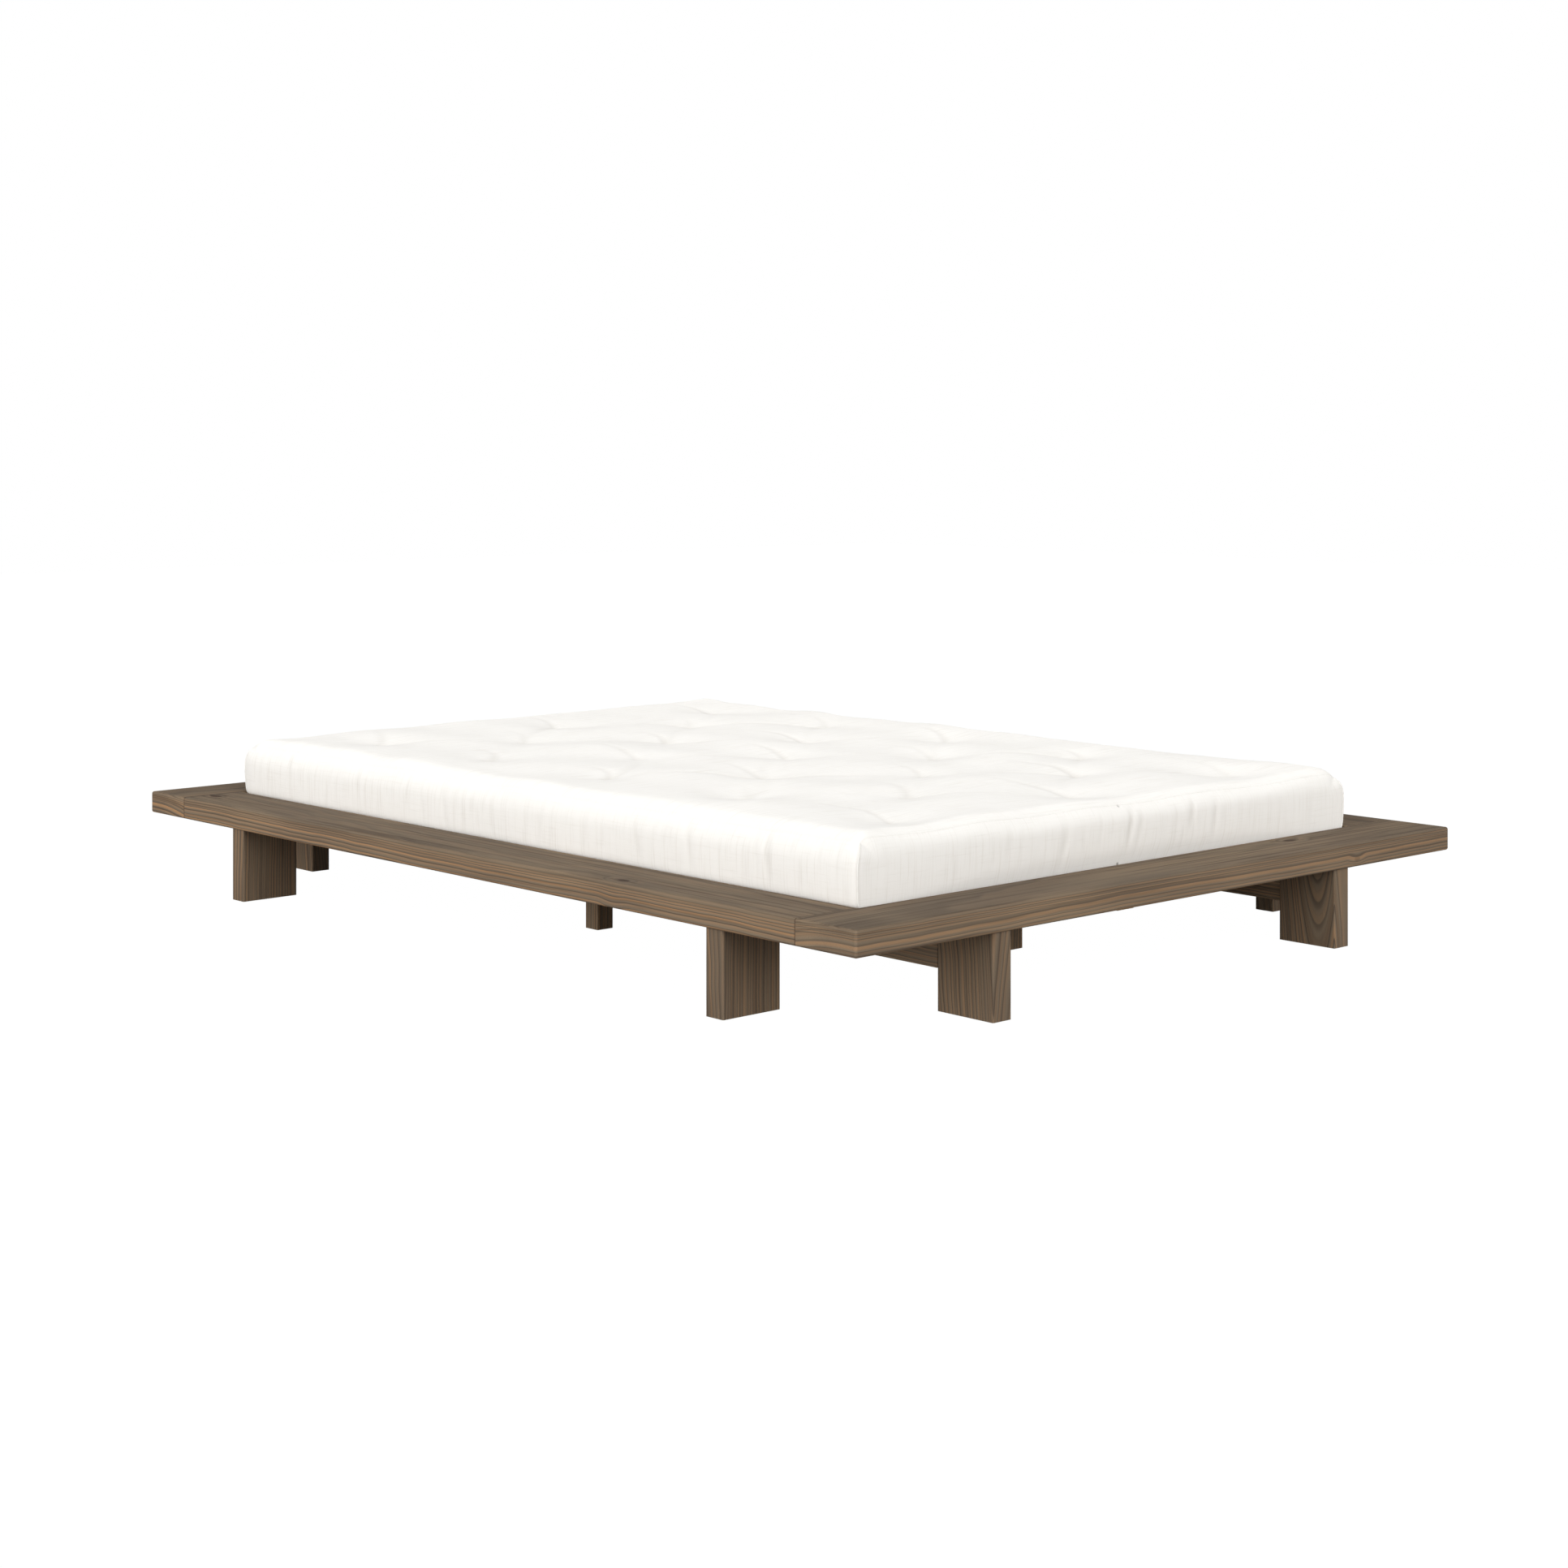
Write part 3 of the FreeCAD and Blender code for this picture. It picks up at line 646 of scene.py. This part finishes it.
# %% Tufts
TUFT_STEP_Y = 0.405
TUFT_STEP_X = 0.244
TUFT_SHIFT = -0.058
ROWS = range(-2, 3)
COLUMNS = range(-3, 4)
TUFT_MARGIN = 0.11

tufts = []
for row in ROWS:
    shift = TUFT_STEP_Y / 2 if row % 2 else 0.0
    for column in COLUMNS:
        tuft_y = TUFT_SHIFT + shift + column * TUFT_STEP_Y - (TUFT_STEP_Y if row % 2 else 0)
        if abs(tuft_y) < half_y - TUFT_MARGIN:
            tufts.append((row * TUFT_STEP_X, tuft_y))
print(len(tufts), "tufts")

# %% Hollows and creases
# Each hollow is its depth and its reach, the cross crease its depth and width, and the cross reach how
# near and how far another tuft may be for a crease to run to it.
BROAD_HOLLOW = (0.0092, 0.078)
STITCH_HOLLOW = (0.0042, 0.016)
LONG_CREASE = 0.0050
CROSS_CREASE = (0.0034, 0.012)
CROSS_REACH = (0.2, 0.36)
CREASE_RIDGE = 0.06

rng = np.random.default_rng(12)
top = rise(z, high_z - SIDE_ROLL[0], high_z - 0.25 * SIDE_ROLL[0])
broad = np.zeros(len(x))
narrow = np.zeros(len(x))


def crease(start, end, depth, width, bow):
    """Valley with a low ridge beside it along a bowed line, deepest at its start and gone at its end."""
    line = np.array(end) - np.array(start)
    length = np.hypot(*line)
    along = ((x - start[0]) * line[0] + (y - start[1]) * line[1]) / length
    aside = ((y - start[1]) * line[0] - (x - start[0]) * line[1]) / length
    share = np.clip(along / length, 0, 1)
    aside = aside - bow * np.sin(math.pi * share)
    beyond = np.abs(along - share * length)
    fade = (1 - share) ** 1.3 * rise(share, -0.05, 0.08)
    valley = np.exp(-(np.hypot(aside, beyond) / width) ** 2)
    ridge = np.exp(-((aside - 2.3 * width) / (1.8 * width)) ** 2 - (beyond / width) ** 2)
    return fade * depth * (CREASE_RIDGE * ridge - valley)


for tuft_x, tuft_y in tufts:
    tightness = rng.uniform(0.45, 1.0)
    span = np.hypot(x - tuft_x, y - tuft_y)
    broad -= BROAD_HOLLOW[0] * np.exp(-(span / BROAD_HOLLOW[1]) ** 2)
    narrow -= STITCH_HOLLOW[0] * tightness * np.exp(-(span / STITCH_HOLLOW[1]) ** 2)
    reach = rng.uniform(0.10, 0.30)
    lean = rng.uniform(0.02, 0.11)
    end = (tuft_x + lean, tuft_y + reach)
    width = rng.uniform(0.008, 0.012)
    narrow += crease((tuft_x, tuft_y), end, LONG_CREASE * tightness, width, rng.uniform(-0.035, -0.01))
    for other_x, other_y in tufts:
        apart = math.hypot(other_x - tuft_x, other_y - tuft_y)
        strength = rng.uniform(0.0, 1.0) ** 2.5
        bow = rng.uniform(-0.03, 0.03)
        if CROSS_REACH[0] < apart < CROSS_REACH[1]:
            narrow += crease((tuft_x, tuft_y), (other_x, other_y), CROSS_CREASE[0] * strength,
                             CROSS_CREASE[1], bow)
print("creases up to", round(float(-narrow.min()) * 1000, 1), "mm deep")

# %% [markdown]
# ## Uneven filling
# Loose cotton is never quite level, and it stands a little prouder at the four corners. A sum of a few
# slow waves in seeded directions gives the unevenness. A noise texture on the mesh could do it too, but
# waves need no modifier and stay in the same arrays as the rest.

# %% Uneven filling
# The corner lift is its height and its reach. A hollow of the full depth takes the whole painted shade of
# a crease.
TOP_LIFT = 0.003
WAVE_LIFT = 0.0026
CORNER_LIFT = (0.004, 0.07)
FULL_SHADE_HOLLOW = 0.007


def waves(count, shortest, longest, seed):
    """Slow unevenness: a sum of plane waves in x and y with seeded directions and lengths."""
    draw = np.random.default_rng(seed)
    total = np.zeros(len(x))
    for _ in range(count):
        heading = draw.uniform(0, math.pi)
        length = draw.uniform(shortest, longest)
        phase = draw.uniform(0, 2 * math.pi)
        total += np.sin(2 * math.pi * (x * math.cos(heading) + y * math.sin(heading)) / length + phase)
    return total / math.sqrt(count)


corner = np.hypot(half_x - np.abs(x), half_y - np.abs(y))
filled = TOP_LIFT + WAVE_LIFT * waves(9, 0.16, 0.6, 3)
lift = filled + CORNER_LIFT[0] * np.exp(-(corner / CORNER_LIFT[1]) ** 2)
z = z + top * (broad + narrow + lift)
# Painted shade: the deeper a crease or stitch hollow on the top, the darker the cloth is coloured there,
# for the shade that gathers in it.
painted_crease_shade = top * np.clip(-narrow / FULL_SHADE_HOLLOW, 0, 1)
print("deepest hollow", round(float((broad + narrow).min()) * 1000, 1), "mm")

# %% [markdown]
# ## Puckered sides
# Where the wrap hangs over the sides, its spare length gathers into upright folds. Each fold is a narrow
# valley with its own place, height and slant. The sides also belly out a little and draw in again at the
# border, and each end panel leans in towards its lower edge, the foot one more than the head one.

# %% Folds
# Each large fold is its place along the wall, then its middle and its reach as shares of the wall's
# height, then its depth. A small fold has the first depth, and up to the second more.
BELLY = 0.003
SMALL_FOLD_SPACING = 0.021
SMALL_FOLD_DEPTH = (0.0002, 0.0010)
LARGE_FOLD_WIDTH = 0.0065
LARGE_FOLDS = {
    "left": ((0.804, 0.72, 0.28, 0.0018), (0.534, 0.62, 0.25, 0.0012), (-0.405, 0.45, 0.30, 0.0014),
             (-0.554, 0.52, 0.30, 0.0013), (-0.766, 0.58, 0.32, 0.0022)),
    "foot": ((0.018, 0.62, 0.30, 0.0024), (0.046, 0.56, 0.30, 0.0016), (0.199, 0.66, 0.20, 0.0022),
             (0.273, 0.62, 0.28, 0.0015), (-0.166, 0.50, 0.28, 0.0020), (-0.317, 0.66, 0.25, 0.0012)),
}

upright = rise(z, low_z + 0.004, low_z + 0.02) * rise(high_z - z, 0.002, 0.03)
height = np.clip((z - low_z) / (high_z - low_z), 0, 1)
belly = BELLY * np.sin(math.pi * height)


def fold(place, middle, centre, tall, deep, slant, width):
    """One upright fold: a narrow valley with a low ridge beside it, fading above and below its centre."""
    line = place - middle - slant * (height - centre) ** 2 * 0.3 - slant * (height - centre)
    fade = np.exp(-((height - centre) / tall) ** 2)
    ridge = 0.3 * np.exp(-((line - 2.2 * width) / (1.6 * width)) ** 2)
    return deep * fade * (np.exp(-(line / width) ** 2) - ridge)


def folds(place, reach, seed, large):
    """Inward depth of the folds along a wall: many faint seeded ones, and the large ones given."""
    draw = np.random.default_rng(seed)
    depth = np.zeros(len(place))
    for start in np.arange(-reach, reach, SMALL_FOLD_SPACING):
        depth += fold(place, start + draw.uniform(0, SMALL_FOLD_SPACING), draw.uniform(0.2, 0.8),
                      draw.uniform(0.12, 0.5),
                      SMALL_FOLD_DEPTH[0] + SMALL_FOLD_DEPTH[1] * draw.uniform() ** 4,
                      draw.uniform(-0.02, 0.02), draw.uniform(0.004, 0.008))
    for middle, centre, tall, deep in large:
        depth += fold(place, middle, centre, tall, deep, draw.uniform(0.01, 0.03), LARGE_FOLD_WIDTH)
    return depth


print(sum(len(large) for large in LARGE_FOLDS.values()), "large folds, small ones every",
      SMALL_FOLD_SPACING, "m")

# %% Sides
SIDE_LEAN = 0.002
FOOT_LEAN = 0.014
HEAD_LEAN = 0.004
SIDE_SLACK = 0.002
END_SLACK = 0.001
FULL_SHADE_FOLD = 0.0032

lean_in = SIDE_LEAN * (0.5 + 0.5 * np.sin(2 * math.pi * y / 0.43 + 0.6)) * (1 - height) ** 2
foot_or_head = np.where(y < 0, FOOT_LEAN, HEAD_LEAN)
end_lean = foot_or_head * (1 - height) ** 2 * np.clip(1 - (x / half_x) ** 2, 0, 1)
left_folds = folds(y, half_y, 5, LARGE_FOLDS["left"]) * (x < 0)
right_folds = folds(y, half_y, 6, ()) * (x > 0)
foot_folds = folds(x, half_x, 8, LARGE_FOLDS["foot"]) * (y < 0)
head_folds = folds(x, half_x, 9, ()) * (y > 0)
# The folds of the sides add painted shade in the same way: the deeper the fold, the darker the cloth.
painted_crease_shade += upright * on_side * np.clip((left_folds + right_folds) / FULL_SHADE_FOLD, 0, 1)
painted_crease_shade += upright * on_end * np.clip((foot_folds + head_folds) / FULL_SHADE_FOLD, 0, 1)
inward_x = (left_folds + right_folds - belly) * upright + lean_in + SIDE_SLACK
inward_y = (foot_folds + head_folds - 0.6 * belly) * upright + end_lean + END_SLACK
x = x - np.sign(x) * on_side * inward_x
y = y - np.sign(y) * on_end * inward_y
print("sides puckered", round(float(inward_y.max()) * 1000, 1), "mm at most")

# %% [markdown]
# ## From arrays to a mesh
# The arrays hold every point and face of the futon, so the mesh is filled from them in a few calls. It
# also keeps two things for the cotton: where each corner of a face lies on the flat cloth, as its UV map,
# and how deep each point sits in a hollow or fold, which the cotton turns into painted shade.

# %% Make the futon mesh
def surface(name, points, faces, unrolled=None):
    """Mesh object from arrays of points and four-cornered faces, shaded smooth.

    unrolled gives each face corner's place on the flat cloth, in metres, as a UV map.
    """
    mesh = bpy.data.meshes.new(name)
    mesh.vertices.add(len(points))
    mesh.vertices.foreach_set("co", np.ascontiguousarray(points, dtype=np.float32).ravel())
    mesh.loops.add(faces.size)
    mesh.loops.foreach_set("vertex_index", faces.ravel().astype(np.int32))
    mesh.polygons.add(len(faces))
    mesh.polygons.foreach_set("loop_start", np.arange(0, faces.size, faces.shape[1], dtype=np.int32))
    mesh.polygons.foreach_set("use_smooth", np.ones(len(faces), dtype=bool))
    if unrolled is not None:
        mesh.uv_layers.new(name="cloth").data.foreach_set("uv", unrolled.astype(np.float32).ravel())
    mesh.update()
    mesh.validate()
    made = bpy.data.objects.new(name, mesh)
    bpy.context.scene.collection.objects.link(made)
    return made


futon = surface("futon", np.stack([x, y, z], axis=1), faces, thread_counts * CELL)
# Each point's painted shade, from how deep it lies in a crease or fold, is kept on the mesh for the
# cotton.
futon.data.attributes.new("painted_crease_shade", "FLOAT", "POINT").data.foreach_set("value", painted_crease_shade.astype(np.float32))
print("futon", len(futon.data.vertices), "points", len(futon.data.polygons), "faces")

# %% [markdown]
# ## Cotton
# The cover is a plain weave of undyed cotton: two sets of fine threads, slightly uneven, with a soft
# matt surface. Thick stretches of yarn show as faint streaks along the threads, which run down the sides
# and across the top. A pattern fixed in space would run straight through the folds and change direction
# at the rolled edges. This one follows the cloth, because it reads the cloth's own unrolled map.

# %% Cotton material
COTTON_PALE = srgb(247, 245, 241)
COTTON_WARM = srgb(230, 226, 219)
COTTON_FOLD_SHADE = srgb(206, 201, 193)
THREAD = 0.0012
THREAD_RELIEF = 0.00003
DOWN_RELIEF = 0.0003
LEVEL_RELIEF = 0.00015
CRINKLE_RELIEF = 0.0012


def cotton():
    """Undyed plain weave with slubs along both sets of threads, and painted shade in creases and folds.
    """
    paint = Paint("cotton")
    level, upright = paint.parts(paint.node("ShaderNodeUVMap", {"uv_map": "cloth"}))[:2]
    pitch = 2 * math.pi / THREAD
    threads = (level * pitch).sine() + (upright * pitch).sine()
    down = paint.noise(paint.point(level * 260, upright * 9, 0.0), detail=3.0)
    along = paint.noise(paint.point(level * 11, upright * 300, 4.0), detail=3.0)
    patch = paint.noise(paint.point(level * 7, upright * 7, 8.0), detail=2.0)
    crinkle = paint.noise(paint.point(level * 34, upright * 22, 2.0), detail=4.0)
    slubs = down.step(0.48, 0.80) * (patch * 0.8 + 0.15) + along.step(0.5, 0.85) * 0.35
    # Painted shade: the cloth is coloured darker where it lies deep in a crease or fold.
    painted_crease_shade = paint.node("ShaderNodeAttribute", {"attribute_name": "painted_crease_shade"}, output=2)
    colour = paint.blend(slubs, COTTON_PALE, COTTON_WARM)
    colour = paint.blend(painted_crease_shade * 0.45, colour, COTTON_FOLD_SHADE)
    height = threads * THREAD_RELIEF + down * DOWN_RELIEF + along * LEVEL_RELIEF
    height = height + crinkle * CRINKLE_RELIEF
    paint.surface(Base_Color=colour, Roughness=down * 0.1 + 0.85, Normal=paint.bump(height, 1.0, 0.7),
                  Specular_IOR_Level=0.2, Diffuse_Roughness=0.5)
    return paint.material


cotton_cloth = cotton()
futon.data.materials.append(cotton_cloth)
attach(futon, "mattress")
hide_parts("mattress")
print("futon dressed in cotton")

# %% [markdown]
# ## End-panel seams
# The wrap and the end panel are sewn right sides together and turned, which leaves a fine raised welt
# all round each end. It could be a curve with a round bevel, but the edge is already known point by
# point, so a small tube is swept along it, a little thicker where the edge runs upright.

# %% Seam welts
UPRIGHT_WELT = 0.0013
LEVEL_WELT = 0.0006
WELT_SIDES = 8


def edge_path(end):
    """Points round an end panel's edge, in order, read from the finished surface."""
    nx, ny, nz = cells
    j = ny * end
    around = [(i, nz) for i in range(nx)] + [(nx, k) for k in range(nz, 0, -1)]
    around += [(i, 0) for i in range(nx, 0, -1)] + [(0, k) for k in range(nz)]
    keys = (counts[:, 0] * (ny + 1) + counts[:, 1]) * (nz + 1) + counts[:, 2]
    wanted = np.array([(i * (ny + 1) + j) * (nz + 1) + k for i, k in around])
    return np.stack([x, y, z], axis=1)[np.searchsorted(keys, wanted)]


def welt(name, path, outward):
    """Closed tube along a path: at each point a circle across the path's own direction.

    The circle's radius goes from the level value to the upright one with the path's steepness.
    """
    tangent = np.roll(path, -2, axis=0) - np.roll(path, 2, axis=0)
    tangent /= np.linalg.norm(tangent, axis=1, keepdims=True)
    normal = np.broadcast_to(np.array(outward, dtype=float), path.shape)
    side = np.cross(tangent, normal)
    side /= np.linalg.norm(side, axis=1, keepdims=True)
    radius = LEVEL_WELT + (UPRIGHT_WELT - LEVEL_WELT) * tangent[:, 2] ** 2
    turns = np.arange(WELT_SIDES) * 2 * math.pi / WELT_SIDES
    turned_out = np.cos(turns)[None, :, None] * normal[:, None, :]
    circle = turned_out + np.sin(turns)[None, :, None] * side[:, None, :]
    points = (path[:, None, :] + radius[:, None, None] * circle).reshape(-1, 3)
    a, b = np.meshgrid(np.arange(len(path)), np.arange(WELT_SIDES), indexing="ij")
    next_a, next_b = (a + 1) % len(path), (b + 1) % WELT_SIDES
    this_ring, next_ring = a * WELT_SIDES, next_a * WELT_SIDES
    rings = [this_ring + b, this_ring + next_b, next_ring + next_b, next_ring + b]
    steps = np.stack([[a, b], [a, b + 1], [a + 1, b + 1], [a + 1, b]]) * CELL
    return surface(name, points, np.stack(rings, axis=-1).reshape(-1, 4), steps.transpose(2, 3, 0, 1))


for end, name in enumerate(("welt_foot", "welt_head")):
    seam = welt(name, edge_path(end), (0, 2 * end - 1, 0))
    seam.data.materials.append(cotton_cloth)
    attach(seam, "mattress")
print("two welts")

# %% [markdown]
# ## Floor
# The room is a plain pale floor under an even white sky. A studio's white sweep is lit so brightly
# that shadows on it nearly vanish, so the floor seen by the camera is mostly its own white, with a little
# of the real shading to set the legs down on it. Rays that bounce off it find a greyer floor, so that the
# legs under the border stay dark.

# %% Floor
FLOOR_GREY = (0.36, 0.36, 0.36, 1)
FLOOR_WHITE = 1.04
FLOOR_SHARE = 0.96
FLOOR_HALF = 14.0


def white_floor():
    """Pale floor, which the camera sees as nearly shadowless."""
    paint = Paint("white_floor")
    paint.surface(Base_Color=FLOOR_GREY, Roughness=0.9)
    glow = paint.node("ShaderNodeEmission", None, {"Color": (1, 1, 1, 1), "Strength": FLOOR_WHITE})
    seen = paint.node("ShaderNodeLightPath")
    mixed = paint.node("ShaderNodeMixShader", None,
                       {0: seen * FLOOR_SHARE, 1: Wire(paint, paint.shader.outputs[0]), 2: glow})
    paint.tree.links.new(mixed.socket, paint.tree.nodes["Material Output"].inputs["Surface"])
    return paint.material


corners = np.array([[-1, -1, 0], [1, -1, 0], [1, 1, 0], [-1, 1, 0]], dtype=float) * FLOOR_HALF
floor = surface("floor", corners, np.array([[0, 1, 2, 3]]))
floor.data.materials.append(white_floor())
print("floor laid")

# %% [markdown]
# ## Light
# Two large softboxes, one beyond the long side and one beyond the foot, stand fairly low, so that they
# fill the futon's sides as brightly as its top but hardly reach the legs behind the border. They are very
# soft suns, because a sun lights the near and the far end of a long bed alike. A white sky does the rest.

# %% Light
SKY_STRENGTH = 0.385
SOFTBOXES = {
    "side_box": dict(source=(-1.0, -0.05), elevation=18, share=0.62, spread=42),
    "foot_box": dict(source=(-0.1, -1.0), elevation=23, share=0.515, spread=36),
}

world = bpy.data.worlds.new("white_sky")
world.use_nodes = True
tree = world.node_tree
background = tree.nodes["Background"]
background.inputs["Color"].default_value = (1, 1, 1, 1)
path = tree.nodes.new("ShaderNodeLightPath")
brightness = tree.nodes.new("ShaderNodeMapRange")
brightness.inputs["To Min"].default_value = SKY_STRENGTH
brightness.inputs["To Max"].default_value = 1.0
tree.links.new(path.outputs["Is Camera Ray"], brightness.inputs["Value"])
tree.links.new(brightness.outputs["Result"], background.inputs["Strength"])
bpy.context.scene.world = world


def softbox(name, source, elevation, share, spread):
    """Soft sun from a direction in plan and an elevation.

    A share of 1 lights a facing surface as much as a white sky of strength 1 does.
    """
    data = bpy.data.lights.new(name, "SUN")
    data.energy = share * math.pi
    data.angle = math.radians(spread)
    lamp = bpy.data.objects.new(name, data)
    lamp.rotation_euler = (math.radians(90 - elevation), 0, math.atan2(source[0], -source[1]))
    bpy.context.scene.collection.objects.link(lamp)


for name, box in SOFTBOXES.items():
    softbox(name, **box)
bpy.context.scene.view_settings.view_transform = "Standard"
print("sky and", len(SOFTBOXES), "softboxes")
